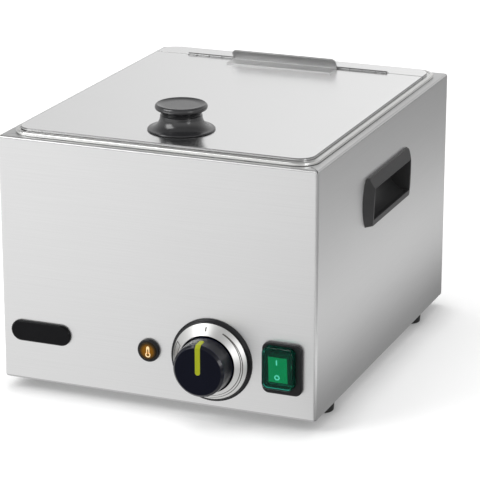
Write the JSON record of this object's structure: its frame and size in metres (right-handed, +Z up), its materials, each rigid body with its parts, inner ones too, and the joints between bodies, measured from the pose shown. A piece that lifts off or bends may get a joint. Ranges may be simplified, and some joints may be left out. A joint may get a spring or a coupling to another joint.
{
  "type": "sausage warmer",
  "caption": "Counter-top wet-heat sausage warmer: brushed steel box with a lift-out food container, a hinged lid with a knob, recessed side handles, a thermostat dial and a rocker switch.",
  "frame": {"origin": "on the standing surface, under the middle of the object's overall box, which runs from the face of the temperature knob to the nose of the rear cable gland", "axes": "the front panel with the controls faces -Y, +X is to the right as seen from the front, +Z is up"},
  "size_m": [0.2924, 0.381, 0.2482],
  "materials": {
    "housing_steel": "fine brushed stainless sheet",
    "lid_steel": "finely ground stainless sheet, mirror-like across the grain",
    "pan_steel": "drawn stainless steel, satin",
    "bracket_steel": "stainless sheet, ground",
    "black_plastic": "glossy phenolic plastic",
    "handle_plastic": "satin moulded plastic",
    "knob_plastic": "satin dark blue-grey plastic",
    "pointer_lime": "glossy lime",
    "dial_aluminium": "satin anodised",
    "badge_black": "glossy black, bare",
    "amber_lens": "clear amber",
    "green_clear": "clear green soft cap",
    "green_rocker": "bright green",
    "rubber_black": "black rubber",
    "zinc_steel": "zinc plated",
    "heater_tube": "annealed alloy sheath",
    "copper": "bare copper",
    "block_plastic": "cream plastic",
    "wire_brown": "silicone insulation",
    "wire_blue": "silicone insulation",
    "wire_green": "silicone insulation",
    "ceramic_white": "white ceramic"
  },
  "bodies": {
    "housing": {"badge_plate": "badge_black", "base_plate": "housing_steel", "bulb_clips": "zinc_steel", "cable_gland": "black_plastic", "dial_bezel": "black_plastic", "dial_scale": "dial_aluminium", "earth_stud": "zinc_steel", "foot_front_left": "rubber_black", "foot_front_right": "rubber_black", "foot_nuts": "zinc_steel", "foot_rear_left": "rubber_black", "foot_rear_right": "rubber_black", "foot_screws": "zinc_steel", "gland_locknut": "black_plastic", "handle_cup_left": "handle_plastic", "handle_cup_right": "handle_plastic", "heat_spreader": "dial_aluminium", "heater_element": "heater_tube", "heater_straps": "zinc_steel", "housing_wrap": "housing_steel", "lamp_bezel": "black_plastic", "lamp_body": "black_plastic", "lamp_lens": "amber_lens", "lamp_nut": "black_plastic", "overheat_cutout": "ceramic_white", "rear_panel": "housing_steel", "rear_screws": "zinc_steel", "sensor_bulb": "copper", "strap_nuts": "zinc_steel", "strap_studs": "zinc_steel", "switch_body": "black_plastic", "switch_cover": "green_clear", "switch_frame": "black_plastic", "terminal_block": "block_plastic", "terminal_screws": "zinc_steel", "thermostat_body": "black_plastic", "thermostat_screws": "zinc_steel", "water_well": "pan_steel", "wire_earth": "wire_green", "wire_live": "wire_brown", "wire_neutral": "wire_blue", "wire_return": "wire_blue", "wire_to_cutout": "wire_brown", "wire_to_heater": "wire_brown", "wire_to_thermostat": "wire_brown"},
    "container": {"food_container": "pan_steel"},
    "lid_base": {"lid_strip": "lid_steel", "hinge_leaf_strip": "bracket_steel", "hinge_pin": "zinc_steel"},
    "lid": {"lid_panel": "lid_steel", "hinge_leaf_lid": "bracket_steel", "lid_stop": "bracket_steel", "lid_knob": "black_plastic", "lid_knob_screw": "zinc_steel"},
    "temperature_knob": {"thermostat_knob": "knob_plastic", "knob_pointer": "pointer_lime", "thermostat_spindle": "zinc_steel"},
    "rocker": {"switch_rocker": "green_rocker"}
  },
  "joints": [
    {"name": "container_lift", "type": "slide", "parent": "housing", "child": "container", "axis": [0, 0, 1], "range_m": [0, 0.1]},
    {"name": "lid_lift", "type": "slide", "parent": "container", "child": "lid_base", "axis": [0, 0, 1], "range_m": [0, 0.05]},
    {"name": "lid_hinge", "type": "hinge", "parent": "lid_base", "child": "lid", "pos_m": [0, 0.1365, 0.2264], "axis": [-1, 0, 0], "range_deg": [0, 127]},
    {"name": "temperature_turn", "type": "hinge", "parent": "housing", "child": "temperature_knob", "pos_m": [0.0496, -0.1605, 0.0516], "axis": [0, 1, 0], "range_deg": [0, 300]},
    {"name": "switch_rock", "type": "hinge", "parent": "housing", "child": "rocker", "pos_m": [0.1102, -0.1595, 0.0548], "axis": [-1, 0, 0], "range_deg": [0, 10]}
  ]
}
